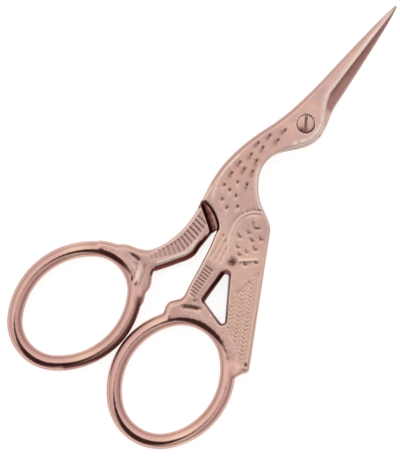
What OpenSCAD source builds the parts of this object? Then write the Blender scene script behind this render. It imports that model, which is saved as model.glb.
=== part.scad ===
// Stork embroidery scissors, closed, lying flat.
// The origin is on the pivot axis, in the plane that the scissors rest on.
// +Y runs from the pivot to the blade tips, and +Z is the side with the slotted screw head.
// The stork half carries the head, neck, wing, tail, one leg and the right ring.
// The plain half lies under its head and neck and carries the ribbed arm and the left ring.

/* [Halves] */
// Thickness of the two halves together
stack_t = 3.6; // [3:0.1:4.6]
// Running gap between the two lapped faces
lap_gap = 0.06; // [0.04:0.01:0.12]
// Side gap between the plain half's neck and the stork's body
side_gap = 0.25; // [0.15:0.05:0.5]
// Radius that rounds the outer edges of the plates
edge_r = 0.7; // [0.4:0.05:0.9]
// Width of the softer rounding down the nape
nape_r = 1.2; // [0.8:0.1:1.5]
// Radius that rounds the shoulders beside the rings
collar_r = 0.5; // [0.3:0.05:0.6]
// How far the arm's wall leans back above the fork
fork_lean = 1; // [0.7:0.05:1.2]
// How far the window's wall leans back beside the leg
window_lean = 1.3; // [0.7:0.05:1.4]

/* [Blades] */
// From the pivot to the blade tips
blade_len = 33.7; // [28:0.5:42]
// From the pivot to the root of the ground blade
blade_root = 9; // [8:0.5:10]
// Spine to blade axis, at the root
blade_root_w = 2.95; // [2.4:0.05:3.4]
// Width of the closed tip
blade_tip_w = 0.4; // [0.2:0.05:0.8]
// Thickness of one blade at its tip
blade_tip_t = 0.45; // [0.3:0.05:0.8]
// How far each cutting edge passes the blade axis
blade_overlap = 0.55; // [0.3:0.05:0.8]
// Width of the ground bevel behind each cutting edge
bevel_w = 0.65; // [0.3:0.05:0.9]

/* [Pivot screw] */
// Diameter of the screw head
screw_head_d = 3.9; // [3:0.1:4.6]
// Thickness of the screw head at its rim
screw_head_t = 0.55; // [0.4:0.05:0.8]
// Height of the dome above the rim
screw_dome = 0.12; // [0.05:0.01:0.25]
// Diameter of the plain shank that the stork half turns on
screw_shank_d = 2.4; // [2.2:0.1:2.8]
// Diameter of the threaded end in the plain half
screw_thread_d = 2.0; // [1.6:0.1:2.1]
// Width of the slot
slot_w = 0.45; // [0.3:0.05:0.7]
// Depth of the slot
slot_depth = 0.35; // [0.2:0.05:0.4]
// Direction of the slot, from the blades
slot_turn = 34; // [0:1:180]
// Radial running clearance round the shank
shank_clear = 0.03; // [0.015:0.005:0.08]
// Radial clearance round the sunk screw head
head_clear = 0.2; // [0.1:0.05:0.4]

/* [Finger rings] */
// Diameter of the round wire of both rings
ring_wire_d = 3.5; // [2.8:0.1:4.2]
// Gap between the closed rings
ring_gap = 0.1; // [0.06:0.02:0.4]
// Where the closed rings meet, to the left of the pivot
ring_split = 2.3; // [1:0.1:4]
// From the pivot down to the centre of the stork's ring
ring_drop = 64.35; // [60:0.5:70]
// How much lower the centre of the plain half's ring lies
plain_ring_low = 0.25; // [-1:0.05:1]
// Half width of the stork's ring, to the middle of its wire
stork_ring_a = 12.1; // [11:0.1:13.5]
// Half length of the stork's ring, to the middle of its wire
stork_ring_b = 14.75; // [14:0.1:16.5]
// Radius of the stork's ring at its ends
stork_ring_r = 10.3; // [9:0.1:10.8]
// Lean of the stork's ring
stork_ring_tilt = 4.4; // [-10:0.2:12]
// Half width of the plain half's ring, to the middle of its wire
plain_ring_a = 11.55; // [10.8:0.1:13]
// Half length of the plain half's ring, to the middle of its wire
plain_ring_b = 14.9; // [14:0.1:16.5]
// Radius of the plain half's ring at its ends
plain_ring_r = 9.4; // [8.5:0.1:10.4]
// Lean of the plain half's ring
plain_ring_tilt = -12.2; // [-16:0.2:0]

/* [Ribs] */
// Distance from rib to rib on the plain half's arm
arm_rib_pitch = 1.05; // [0.9:0.05:1.2]
// Distance from rib to rib on the stork's leg
leg_rib_pitch = 0.78; // [0.7:0.02:0.9]
// Depth of the grooves between the ribs
rib_depth = 0.16; // [0.08:0.02:0.24]

/* [Carving] */
// Depth of the lines round the wing, down the tail and at the collars
line_depth = 0.14; // [0.06:0.02:0.22]
// Depth of the feather marks down the neck
feather_depth = 0.12; // [0.06:0.02:0.2]
// Length of a feather mark
feather_len = 1.7; // [1.2:0.1:2]
// From the tail's straight edge in to its first line
tail_border = 1.3; // [1.1:0.1:1.6]
// Distance from line to line down the tail
tail_line_pitch = 1.95; // [1.7:0.05:2.1]

/* [Hidden] */
metal = [0.80, 0.58, 0.53];
screw_metal = [0.84, 0.63, 0.58];
cut_over = 0.5;
skim = 0.01;

// Heights of the two lapped faces and of the rings' wire
mid_z = stack_t / 2;
stork_lap_z = mid_z + lap_gap / 2;
plain_lap_z = mid_z - lap_gap / 2;
layer_t = stack_t - stork_lap_z;
rest_lift = 0.05;
ring_z = max(mid_z, ring_wire_d / 2 + rest_lift);
wire_r = ring_wire_d / 2;

// How finely the blades, the curves, the roundings and the wire are drawn
blade_steps = 16;
curve_steps = 3;
rise_steps = 4;
corner_steps = 3;
loop_steps = 72;
wire_sides = 14;

// A ring is [centre x, centre y, half width, half length, end radius, lean]
function side_radius(a, b, r) = (a * a + (b - r) * (b - r) - r * r) / (2 * (a - r));
function ring_reach(a, b, r, lean) =
    let (big = side_radius(a, b, r))
    big - (big - a) * cos(lean);
stork_reach = ring_reach(stork_ring_a, stork_ring_b, stork_ring_r, stork_ring_tilt);
plain_reach = ring_reach(plain_ring_a, plain_ring_b, plain_ring_r, plain_ring_tilt);
stork_ring_x = -ring_split + ring_gap / 2 + wire_r + stork_reach;
plain_ring_x = -ring_split - ring_gap / 2 - wire_r - plain_reach;
plain_ring_y = -ring_drop - plain_ring_low;
stork_ring =
    [stork_ring_x, -ring_drop, stork_ring_a, stork_ring_b, stork_ring_r, stork_ring_tilt];
plain_ring =
    [plain_ring_x, plain_ring_y, plain_ring_a, plain_ring_b, plain_ring_r, plain_ring_tilt];

// A point beside a ring: its angle round the ring, and how far out from the wire's surface
function beside(ring, angle, out) =
    let (
        u = (ring[2] + wire_r + out) * cos(angle),
        v = (ring[3] + wire_r + out) * sin(angle),
        lean = ring[5]
    )
    [ring[0] + u * cos(lean) - v * sin(lean), ring[1] + u * sin(lean) + v * cos(lean)];
function beside_all(ring, spots) = [for (s = spots) beside(ring, s[0], s[1])];
// Points on the middle of the wire, where a plate ends inside it
function in_wire(ring, from, to, step) = [for (t = [from:step:to]) beside(ring, t, -wire_r)];

// Smooth curve through a list of points, as short chords
function curve_at(a, b, c, d, t) =
    0.5 * (2 * b + (c - a) * t + (2 * a - 5 * b + 4 * c - d) * t * t
        + (3 * b - a - 3 * c + d) * t * t * t);
function curve(p) =
    let (last = len(p) - 1)
    concat(
        [for (i = [0:last - 1], k = [0:curve_steps - 1])
            curve_at(p[max(i - 1, 0)], p[i], p[i + 1], p[min(i + 2, last)], k / curve_steps)],
        [p[last]]
    );
function reversed(p) = [for (i = [len(p) - 1:-1:0]) p[i]];

// A rim point is [x, y, width of its rounding, height of its rounding, height of the plate]
function edge(p, wide = edge_r, high = edge_r) = [for (q = p) [q.x, q.y, wide, high, layer_t]];
// The roundings of neighbouring stretches run into each other
function soft_rim(p) =
    let (n = len(p))
    [for (i = [0:n - 1])
        let (sum = p[(i + n - 2) % n] + p[(i + n - 1) % n] + p[i] + p[(i + 1) % n] + p[(i + 2) % n])
        [p[i][0], p[i][1], sum[2] / 5, sum[3] / 5, p[i][4]]];

// The blade, from its tip (s = 0) to its root (s = 1)
blade_axis_x = -0.25;
blade_s = [for (i = [0:blade_steps]) pow(i / blade_steps, 1.5)];
function blade_w(s) = blade_tip_w / 2 + (blade_root_w - blade_tip_w / 2) * pow(s, 0.75);
function blade_over(s) = blade_tip_w / 4 + (blade_overlap - blade_tip_w / 4) * pow(s, 0.3);
function blade_t(s) = blade_tip_t + (layer_t - blade_tip_t) * pow(s, 0.7);
function blade_y(s) = blade_len - s * (blade_len - blade_root);
// Spine and cutting edge of a blade whose spine lies on the given side of its axis
function spine_rim(side) =
    [for (s = blade_s)
        [blade_axis_x + side * blade_w(s), blade_y(s),
            min(edge_r, 0.45 * blade_w(s)), min(edge_r, 0.6 * blade_t(s)), blade_t(s)]];
function cutting_rim(side) =
    [for (s = blade_s)
        [blade_axis_x - side * blade_over(s), blade_y(s),
            min(bevel_w, 0.6 * blade_w(s)), 0.9 * blade_t(s), blade_t(s)]];

// Back of the head and neck, down to the stork's lower corner, and on down the arm
nape = [[-3.38, 7.5], [-3.9, 4], [-4.6, 0], [-5.65, -4], [-7, -8], [-8.1, -12], [-8.8, -16],
    [-9.03, -19.5], [-8.75, -23.5]];
lap_corner = [[-8.05, -27.3], [-7.85, -27.9], [-7.4, -28.1]];
arm_left = [[-7.55, -29.8], [-7.3, -31.5], [-7.2, -34], [-7.45, -37], [-8.3, -40.5],
    [-9.25, -42.6]];
// Throat side of the stork half's head, from the neck up to the cutting edge
stork_throat = [[-1.4, -10.4], [-0.6, -8.6], [0.6, -6.7], [2.1, -4.6], [3.2, -2.7], [3.72, -0.7],
    [3.65, 1.2], [3, 3.1], [1.85, 5.1], [0.9, 7]];
// The same side of the plain half's head, which is the outline of the closed scissors
plain_throat = [[-1.4, -10.5], [-0.34, -8.5], [1.3, -6.5], [2.92, -4.5], [3.96, -2.5],
    [4.42, -0.5], [4.25, 1.5], [3.7, 3.7], [3.1, 5.7], [2.82, 7.4]];
// Brow side of the plain half's head, hidden while the scissors are closed
plain_brow = [[-1.35, 7], [-2.3, 5.1], [-3.4, 3.1], [-4, 1.2], [-4.3, -0.7], [-4.9, -2.9],
    [-5.7, -4.9], [-6.6, -7], [-7.4, -9.4], [-8.1, -12]];
// Throat and chest, from the wing's shoulder up to the narrow of the neck
chest = [[8.9, -24.5], [8.2, -23.5], [6.9, -22.5], [5.1, -21.5], [3.1, -20.4], [1.4, -19],
    [-0.1, -17.2], [-1.2, -15.2], [-1.72, -12.9]];
// Free edge of the stork half over the plain half's neck, down to the fork of the legs
lap_edge = [[-6.2, -28.15], [-4.6, -28.7], [-2.9, -29.6], [-1.5, -30.7], [-0.85, -31.7]];
leg_left = [[-0.6, -32.7], [0.1, -35.5], [0.68, -38.5], [1.2, -41.5], [1.6, -44.3]];
// Hidden side of the plain half's neck, from the fork up
plain_neck_right = [[-1.45, -32.6], [-1.05, -31.4], [-0.75, -29.8], [-0.3, -27.3], [0, -24.5],
    [0, -21.5], [-0.25, -19], [-0.75, -16.9], [-1.3, -15], [-1.72, -12.9]];
arm_right = [[-6.15, -47.05], [-5.2, -45.6], [-4.2, -44.1], [-3.15, -42.4], [-2.2, -40.9], [-1.65, -39.6],
    [-1.42, -38.4], [-1.53, -37], [-1.5, -35.2]];
// Step where the arm rises to its full thickness, from the fork to the back of the neck
arm_step = [[-1.5, -34], [-1.5, -32.8], [-1.85, -32], [-4.7, -30.05], [-7.1, -28.65],
    [-7.5, -28.9]];

// Shoulders where the leg, the arm and the tail grow out of their rings
stork_collar = beside_all(stork_ring, [[118.2, 3.3], [121, 2.6], [126, 2.32], [129.4, 2.1],
    [132.3, 1.32], [134, 0.4], [134.4, -0.5], [133, -1.3]]);
tail_end = beside_all(stork_ring, [[36, -1.3], [33, -0.9], [31.5, -0.2], [31.8, 0.45],
    [33.7, 1.53], [34.5, 2.62], [36.6, 3.05]]);
plain_collar_left = beside_all(plain_ring, [[87.1, 4.24], [92.9, 2.74], [102.6, 1.71],
    [108.2, 0.77], [117, 0.34], [124, 0.1], [127, -0.6], [124, -1.4]]);
plain_collar_right = beside_all(plain_ring, [[51, -1.4], [47, -0.9], [45.6, -0.2], [47, 0.3], [50.6, 0.48],
    [54.6, 0.7], [56.5, 1.13], [60.2, 1.84], [63.8, 2.21], [67.7, 2.55], [70.5, 3.1]]);
// The tail's straight side, from its end up to the wing's shoulder
tail_tip = tail_end[len(tail_end) - 1];
tail_side = [for (t = [0.25:0.25:0.75]) tail_tip + t * (chest[0] - tail_tip)];

// Leg, collar, ring, tail and chest, which both layers of the stork half share
stork_lower_edge = concat(
    curve(concat(edge(leg_left), edge(stork_collar, collar_r, collar_r))),
    edge(in_wire(stork_ring, 128, 40, -8)),
    curve(edge(tail_end, collar_r, collar_r)),
    edge(tail_side)
);
stork_upper = soft_rim(concat(
    spine_rim(-1),
    curve(concat(
        edge(nape, nape_r, layer_t - 0.5),
        edge(lap_corner, edge_r / 2),
        edge(lap_edge)
    )),
    stork_lower_edge,
    curve(edge(concat(chest, stork_throat))),
    reversed(cutting_rim(-1))
));
// Below this height on the neck, the stork half fills both layers
recess_top = -18;
recess_end = -32;
recess_r = 0.2;
recess_side = [for (p = reversed(plain_neck_right)) if (p.y < recess_top && p.y > recess_end)
    [p.x + side_gap, p.y]];
stork_lower = soft_rim(concat(
    curve(edge(recess_side, recess_r, recess_r)),
    stork_lower_edge,
    [for (p = curve(edge(chest))) if (p.y < recess_top) p]
));

// Arm, collars and ring, which both layers of the plain half share
plain_arm_edge = concat(
    curve(concat(edge(arm_left), edge(plain_collar_left, collar_r, collar_r))),
    edge(in_wire(plain_ring, 118, 58, -10)),
    curve(concat(
        edge(plain_collar_right, collar_r, collar_r),
        edge(arm_right, fork_lean, layer_t - 0.3)
    ))
);
plain_lower = soft_rim(concat(
    cutting_rim(1),
    curve(edge(concat(plain_brow, [for (p = nape) if (p.y < -13) p], [lap_corner[0]]))),
    plain_arm_edge,
    curve(edge(concat(plain_neck_right, plain_throat))),
    reversed(spine_rim(1))
));
plain_upper = soft_rim(concat(plain_arm_edge, curve(edge(arm_step, edge_r / 2))));

// Seat of the screw head, and the head above it by the running gap
seat_z = stack_t - screw_head_t + lap_gap / 2;
head_z = seat_z + lap_gap / 2;

// The window's corners before rounding: top, beside the leg's foot, and at the tail
window_r = 0.6;
window_lip = 0.55;
window_top = [6.45, -36.3];
window_foot = beside(stork_ring, 101.8, 2.83);
window_tail = beside(stork_ring, 75.3, 0.42);
// A rounded corner, with the width of the window's rounding before and after it
function window_corner(back, here, on, before, after) =
    let (
        a = atan2(back.y - here.y, back.x - here.x),
        b = atan2(on.y - here.y, on.x - here.x),
        half = ((a - b) % 360 + 360) % 360 / 2,
        centre = here + window_r / sin(half) * [cos(b + half), sin(b + half)]
    )
    [for (k = [-corner_steps:corner_steps])
        let (
            turn = b + half + (90 - half) * k / corner_steps,
            wide = (before + after) / 2 + (after - before) / 2 * k / corner_steps
        )
        [centre.x - window_r * cos(turn), centre.y - window_r * sin(turn), -wide,
            0.8 * layer_t, mid_z + skim]];
window_rim = concat(
    window_corner(window_tail, window_top, window_foot, window_lip, window_lean),
    window_corner(window_top, window_foot, window_tail, window_lean, window_lip),
    window_corner(window_foot, window_tail, window_top, window_lip, window_lip)
);

// Grooves across the leg, and across the arm where it runs straight and where it turns
groove_r = 0.35;
leg_grooves = [for (i = [0:9]) [2.95 + 0.06 * i, -39 - leg_rib_pitch * i, 2, 0]];
arm_grooves = [for (i = [0:14])
    let (
        straight = min(i, 7),
        turned = max(i - 6, 0) / 8
    )
    [-5.1 - 4.2 * pow(turned, 1.4), -31.7 - arm_rib_pitch * (straight + 0.85 * (i - straight)),
        3.1 - 1.1 * turned, -8 - 34 * turned]];

// Feather marks down the neck: where each one starts, and its direction
feathers = [[-2.7, -4.1, -102], [-2.6, -6.8, -96], [-4.7, -7.1, -90], [-5.7, -10.1, -96],
    [-4.3, -10.3, -75], [-5.4, -13.1, -84], [-3.6, -13.5, -71], [-2.8, -15.9, -70],
    [-6.3, -16.1, -87], [-4.6, -16.7, -81], [-6.3, -19.1, -83], [-2, -19, -67],
    [-4, -19.9, -60], [-6, -22.3, -64], [-4.3, -22.4, -64], [-2.4, -22.6, -58],
    [-0.6, -24.3, -70], [-4.4, -25.1, -58], [-2.4, -26, -64]];
feather_marks = [for (f = feathers)
    [f.x + feather_len / 2 * cos(f[2]), f.y + feather_len / 2 * sin(f[2]), feather_len, f[2]]];
// On the other side the neck belongs to the plain half, up to its hidden edge
back_marks = [for (f = feather_marks) if (f.x < -2) f];

// Edge of the wing, as two arcs that run into each other: [centre x, centre y, radius, from, turn]
wing_bend = [6.6, -27];
wing_bend_r = 5.26;
wing_side_r = 11.8;
wing_join = 186.5;
wing_side = wing_bend + (wing_side_r - wing_bend_r) * [-cos(wing_join), -sin(wing_join)];
wing_arcs = [
    [wing_bend.x, wing_bend.y, wing_bend_r, 106, wing_join - 106],
    [wing_side.x, wing_side.y, wing_side_r, wing_join, 43]
];
covert_line = [8.75, -32.45, 5.6, 41];

// Lines down the tail, side by side from its straight edge
tail_way = (tail_tip - chest[0]) / norm(tail_tip - chest[0]);
tail_lines = [for (i = [0:2])
    let (
        inward = tail_border + tail_line_pitch * i,
        start = 8.5 + 2.4 * i,
        end = norm(tail_tip - chest[0]) - 1.2 - 0.9 * i,
        middle = chest[0] + (start + end) / 2 * tail_way + inward * [tail_way.y, -tail_way.x]
    )
    [middle.x, middle.y, end - start, atan2(tail_way.y, tail_way.x)]];
stork_lines = concat(tail_lines, [covert_line, [5.2, -48.7, 4.2, 31]]);
plain_lines = [[-11.75, -47.45, 2.9, 0]];

// One layer of a half: flat on its lapped face, rounded to its outer face.
// blade is how many points at each end of the rim belong to a blade, and
// lid is how far a cutting layer stands above its own rounding.
module layer(rim, blade = 0, lid = 0) {
    n = len(rim);
    rings = rise_steps + (lid > 0 ? 2 : 1);
    function edge_point(i, inset) =
        let (
            a = rim[(i + n - 1) % n],
            b = rim[(i + 1) % n],
            along = [b.x - a.x, b.y - a.y] / norm([b.x - a.x, b.y - a.y])
        )
        [rim[i].x - inset * along.y, rim[i].y + inset * along.x];
    function ring_of(k) =
        [for (i = [0:n - 1])
            let (
                turn = 90 * min(k, rise_steps) / rise_steps,
                at = edge_point(i, rim[i][2] * (1 - cos(turn))),
                wall = rim[i][4] - rim[i][3]
            )
            [at.x, at.y, wall + rim[i][3] * sin(turn) + (k > rise_steps ? lid : 0)]];
    base = [for (p = rim) [p.x, p.y, 0]];
    points = concat(base, [for (k = [0:rings - 1]) each ring_of(k)]);
    top = rings * n;
    sides = [for (k = [0:rings - 1], i = [0:n - 1])
        let (
            a = k * n + i,
            b = k * n + (i + 1) % n
        )
        each [[a, a + n, b], [b, a + n, b + n]]];
    blade_top = [for (i = [0:1:blade - 2])
        let (
            l = top + i,
            r = top + n - 1 - i
        )
        each [[l, r, l + 1], [r, r - 1, l + 1]]];
    first = max(blade - 1, 0);
    main_top = [for (i = [n - 1 - first:-1:first]) top + i];
    polyhedron(points, concat([[for (i = [0:n - 1]) i]], sides, blade_top, [main_top]), 4);
}

// Round wire bent to an oval of four arcs, two of the end radius and two flatter ones at the sides
module finger_ring(ring) {
    a = ring[2];
    b = ring[3];
    r = ring[4];
    big = side_radius(a, b, r);
    join = atan2(b - r, big - a);
    // Middle of the wire where the oval faces the given direction
    function loop_at(t) =
        let (
            end = abs(sin(t)) > sin(join),
            reach = end ? r : big,
            from = end ? [0, sign(sin(t)) * (b - r)] : [sign(cos(t)) * (a - big), 0]
        )
        [from.x + reach * cos(t), from.y + reach * sin(t)];
    points = [for (i = [0:loop_steps - 1], k = [0:wire_sides - 1])
        let (
            t = 360 * i / loop_steps,
            turn = 360 * (k + 0.5) / wire_sides,
            out = wire_r * cos(turn),
            at = loop_at(t)
        )
        [at.x + out * cos(t), at.y + out * sin(t), wire_r * sin(turn)]];
    faces = [for (i = [0:loop_steps - 1], k = [0:wire_sides - 1])
        let (
            near = i * wire_sides,
            far = (i + 1) % loop_steps * wire_sides,
            next = (k + 1) % wire_sides
        )
        each [[near + k, far + next, far + k], [near + k, near + next, far + next]]];
    translate([ring[0], ring[1], ring_z])
        rotate(ring[5])
            polyhedron(points, faces, 4);
}

// The pieces given, joined into one skin
module one_skin() {
    minkowski()
        union()
            children();
}

// The three-cornered window between the stork's leg and its tail, open to both faces
module window_cut() {
    for (face = [0, 1])
        translate([0, 0, mid_z])
            mirror([0, 0, face])
                layer(window_rim, lid = cut_over);
}

// Round hole and sunk seat for the pivot screw, through the stork half's head
module screw_seat() {
    translate([0, 0, stork_lap_z - cut_over])
        cylinder(d = screw_shank_d + 2 * shank_clear, h = layer_t + 2 * cut_over, $fn = 64);
    translate([0, 0, seat_z])
        cylinder(d = screw_head_d + 2 * head_clear, h = stack_t - seat_z + cut_over, $fn = 64);
}

// Straight grooves in the back (0) or front (1) face: each is [middle x, middle y, length, direction]
module grooves(list, depth, faces = [0, 1]) {
    for (face = faces, g = list)
        translate([g[0], g[1], face ? stack_t + groove_r - depth : depth - groove_r])
            rotate([0, 90, g[3]])
                cylinder(r = groove_r, h = g[2], center = true, $fn = 32);
}

// Grooves along arcs in both faces
module arc_grooves(list, depth) {
    for (face = [0, 1], g = list)
        translate([g[0], g[1], face ? stack_t + groove_r - depth : depth - groove_r])
            rotate(g[3])
                rotate_extrude(angle = g[4], $fn = 96)
                    translate([g[2], 0])
                        circle(r = groove_r, $fn = 32);
}

module stork_half() {
    color(metal)
        difference() {
            one_skin()
                difference() {
                    union() {
                        translate([0, 0, stork_lap_z])
                            layer(stork_upper, blade_steps + 1);
                        translate([0, 0, stork_lap_z])
                            mirror([0, 0, 1])
                                scale([1, 1, stork_lap_z / layer_t])
                                    layer(stork_lower);
                        finger_ring(stork_ring);
                    }
                    window_cut();
                }
            screw_seat();
            grooves(leg_grooves, rib_depth);
            grooves(feather_marks, feather_depth, [1]);
            grooves(stork_lines, line_depth);
            arc_grooves(wing_arcs, line_depth);
        }
}

module plain_half() {
    color(metal)
        difference() {
            one_skin() {
                translate([0, 0, plain_lap_z])
                    mirror([0, 0, 1])
                        layer(plain_lower, blade_steps + 1);
                translate([0, 0, plain_lap_z])
                    scale([1, 1, stork_lap_z / layer_t])
                        layer(plain_upper);
                finger_ring(plain_ring);
            }
            translate([0, 0, -cut_over])
                cylinder(d = screw_thread_d, h = stack_t, $fn = 64);
            grooves(arm_grooves, rib_depth);
            grooves(back_marks, feather_depth, [0]);
            grooves(plain_lines, line_depth);
        }
}

// Shouldered screw: its thread is in the plain half, and the stork half turns on its shank
module pivot_screw() {
    dome_r = (screw_head_d * screw_head_d / 4 + screw_dome * screw_dome) / (2 * screw_dome);
    rim_z = head_z + screw_head_t;
    color(screw_metal)
        difference() {
            union() {
                cylinder(d = screw_thread_d, h = plain_lap_z, $fn = 64);
                translate([0, 0, plain_lap_z])
                    cylinder(d = screw_shank_d, h = head_z - plain_lap_z, $fn = 64);
                translate([0, 0, head_z])
                    cylinder(d = screw_head_d, h = screw_head_t, $fn = 64);
                intersection() {
                    translate([0, 0, rim_z + screw_dome - dome_r])
                        sphere(r = dome_r, $fn = 128);
                    translate([0, 0, rim_z])
                        cylinder(d = screw_head_d, h = 2 * screw_dome, $fn = 64);
                }
            }
            translate([0, 0, rim_z + screw_dome - slot_depth + mid_z])
                rotate(slot_turn)
                    cube([slot_w, 2 * screw_head_d, stack_t], center = true);
        }
}

stork_half();
plain_half();
pivot_screw();
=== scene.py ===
"""Stork embroidery scissors in worn rose-gold plate, lying on a white ground.

Each half is sculpted as a distance field in millimetres, on the outlines that the part has, and
then meshed. Carving such as feathers and ribs is cut into the field's two faces.
"""

import math

import bpy
import numpy as np
import openvdb
from mathutils import Matrix, Vector


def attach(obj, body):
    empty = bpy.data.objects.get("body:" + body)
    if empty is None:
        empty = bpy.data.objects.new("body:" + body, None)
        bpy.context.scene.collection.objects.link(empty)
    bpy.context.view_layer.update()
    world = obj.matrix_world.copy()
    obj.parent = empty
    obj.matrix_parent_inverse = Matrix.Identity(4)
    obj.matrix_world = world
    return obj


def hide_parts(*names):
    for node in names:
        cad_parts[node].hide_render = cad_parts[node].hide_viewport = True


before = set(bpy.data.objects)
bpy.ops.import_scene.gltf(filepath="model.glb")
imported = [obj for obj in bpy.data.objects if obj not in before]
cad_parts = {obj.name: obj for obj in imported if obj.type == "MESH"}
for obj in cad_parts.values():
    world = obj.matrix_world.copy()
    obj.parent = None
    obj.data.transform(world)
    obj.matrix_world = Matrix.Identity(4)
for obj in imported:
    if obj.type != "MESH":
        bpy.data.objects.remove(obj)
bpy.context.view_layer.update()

MM = 0.001

# Thicknesses, and gaps between the halves
STACK_T = 3.6
LAP_GAP = 0.06
SIDE_GAP = 0.25
MID_Z = STACK_T / 2
STORK_LAP_Z = MID_Z + LAP_GAP / 2
PLAIN_LAP_Z = MID_Z - LAP_GAP / 2
LAYER_T = STACK_T - STORK_LAP_Z

# Roundings at the rims: width and height, and how round a leaning wall is
EDGE_R = 0.7
NAPE_ROUND = (1.2, LAYER_T - 0.5)
LIP_ROUND = (0.42, 0.5)
RECESS_ROUND = (0.2, 0.2)
COLLAR_END = (1.4, 1.2)
WALL_T = LAYER_T - 0.15
WALL_POWER = 1.2
LAP_WALL = (0.75, WALL_T, WALL_POWER)
FORK_WALL = (1.4, WALL_T, WALL_POWER)
ROUND = 2.0
WIRE_BLEND = 0.9

# Blades, from the tip down to the root
BLADE_LEN = 33.7
BLADE_ROOT = 9.0
BLADE_ROOT_W = 2.95
BLADE_TIP_W = 0.4
BLADE_TIP_T = 0.45
BLADE_OVERLAP = 0.55
BLADE_AXIS_X = -0.25
BLADE_STEPS = 40
BEVEL_W = 0.3
BEVEL_POWER = 1.3

# Screw
HEAD_R = 1.95
HEAD_T = 0.55
HEAD_DOME = 0.12
# Gap round the head, and the share by which it is tighter on the side where the head gets painted
# light
HEAD_CLEAR = 0.2
HEAD_TIGHT = 0.45
SHANK_R = 1.2
SHANK_CLEAR = 0.03
THREAD_R = 1.0
THREAD_PITCH = 0.4
THREAD_DEPTH = 0.1
SLOT_W = 0.45
SLOT_DEPTH = 0.35
SLOT_TURN = math.radians(34)
# How far shank and thread run into what is above them
SCREW_JOIN = 0.1
# The slot's mouth opens above this depth, by this much on each side per millimetre
MOUTH_DEPTH = 0.28
MOUTH_SLOPE = 0.3
# Cone that takes the sharp edge off the head's rim: its slope, scale and inset
RIM_SLOPE = 0.7
RIM_SCALE = 0.82
RIM_INSET = 0.17
SEAT_Z = STACK_T - HEAD_T + LAP_GAP / 2
HEAD_Z = SEAT_Z + LAP_GAP / 2

# Finger rings, measured to the middle of their wire. The drop is from the pivot to the stork's
# ring, and the split is where the closed rings meet, left of the pivot.
WIRE_R = 1.75
RING_Z = MID_Z
RING_DROP = 64.35
RING_SPLIT = 2.3
RING_GAP = 0.1


def make_ring(side, low, a, b, r, lean):
    """A ring right (1) or left (-1) of the split. low is how far it hangs below the stork's,
    a and b are its half width and half length, r is the radius of its ends, and lean is its
    turn in degrees."""
    big = (a * a + (b - r) ** 2 - r * r) / (2 * (a - r))
    reach = big - (big - a) * math.cos(math.radians(lean))
    centre_x = -RING_SPLIT + side * (RING_GAP / 2 + WIRE_R + reach)
    return dict(x=centre_x, y=-RING_DROP - low, a=a, b=b, r=r, big=big, lean=math.radians(lean))


STORK_RING = make_ring(1, 0.0, 12.1, 14.75, 10.3, 4.4)
PLAIN_RING = make_ring(-1, 0.25, 11.55, 14.9, 9.4, -12.2)


def beside(ring, angle, out):
    """A point beside a ring: its angle round it, and how far out from the wire's surface."""
    u = (ring["a"] + WIRE_R + out) * math.cos(math.radians(angle))
    v = (ring["b"] + WIRE_R + out) * math.sin(math.radians(angle))
    c, s = math.cos(ring["lean"]), math.sin(ring["lean"])
    return (ring["x"] + u * c - v * s, ring["y"] + u * s + v * c)


def beside_all(ring, spots):
    return [beside(ring, angle, out) for angle, out in spots]


def in_wire(ring, start, end, step):
    """Points along the middle of a ring's wire, where the web above it ends."""
    return [beside(ring, angle, -WIRE_R) for angle in range(start, end + step, step)]


# Outlines of the halves
NAPE = [(-3.38, 7.5), (-3.9, 4), (-4.6, 0), (-5.65, -4), (-7, -8), (-8.1, -12), (-8.8, -16),
        (-9.03, -19.5), (-8.75, -23.5)]
LAP_CORNER = [(-8.05, -27.3), (-7.85, -27.9), (-7.4, -28.1)]
ARM_LEFT = [(-7.55, -29.8), (-7.3, -31.5), (-7.2, -34), (-7.45, -37), (-8.3, -40.5),
            (-9.25, -42.6)]
STORK_THROAT = [(-1.4, -10.4), (-0.6, -8.6), (0.6, -6.7), (2.1, -4.6), (3.2, -2.7), (3.72, -0.7),
                (3.65, 1.2), (3, 3.1), (1.85, 5.1), (0.9, 7)]
PLAIN_THROAT = [(-1.4, -10.5), (-0.34, -8.5), (1.3, -6.5), (2.92, -4.5), (3.96, -2.5),
                (4.42, -0.5), (4.25, 1.5), (3.7, 3.7), (3.1, 5.7), (2.82, 7.4)]
PLAIN_BROW = [(-1.35, 7), (-2.3, 5.1), (-3.4, 3.1), (-4, 1.2), (-4.3, -0.7), (-4.9, -2.9),
              (-5.7, -4.9), (-6.6, -7), (-7.4, -9.4), (-8.1, -12)]
CHEST = [(8.9, -24.5), (8.2, -23.5), (6.9, -22.5), (5.1, -21.5), (3.1, -20.4), (1.4, -19),
         (-0.1, -17.2), (-1.2, -15.2), (-1.72, -12.9)]
LAP_EDGE = [(-6.2, -28.15), (-4.6, -28.7), (-2.9, -29.6), (-1.5, -30.7), (-0.85, -31.7)]
LEG_LEFT = [(-0.6, -32.7), (0.1, -35.5), (0.68, -38.5), (1.2, -41.5), (1.6, -44.3)]
PLAIN_NECK_RIGHT = [(-1.45, -32.6), (-1.05, -31.4), (-0.75, -29.8), (-0.3, -27.3), (0, -24.5),
                    (0, -21.5), (-0.25, -19), (-0.75, -16.9), (-1.3, -15), (-1.72, -12.9)]
ARM_RIGHT = [(-6.15, -47.05), (-5.2, -45.6), (-4.2, -44.1), (-3.15, -42.4), (-2.2, -40.9),
             (-1.65, -39.6), (-1.42, -38.4), (-1.53, -37), (-1.5, -35.2)]
ARM_STEP = [(-1.5, -34), (-1.5, -32.8), (-1.85, -32), (-4.7, -30.05), (-7.1, -28.65),
            (-7.5, -28.9)]
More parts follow.
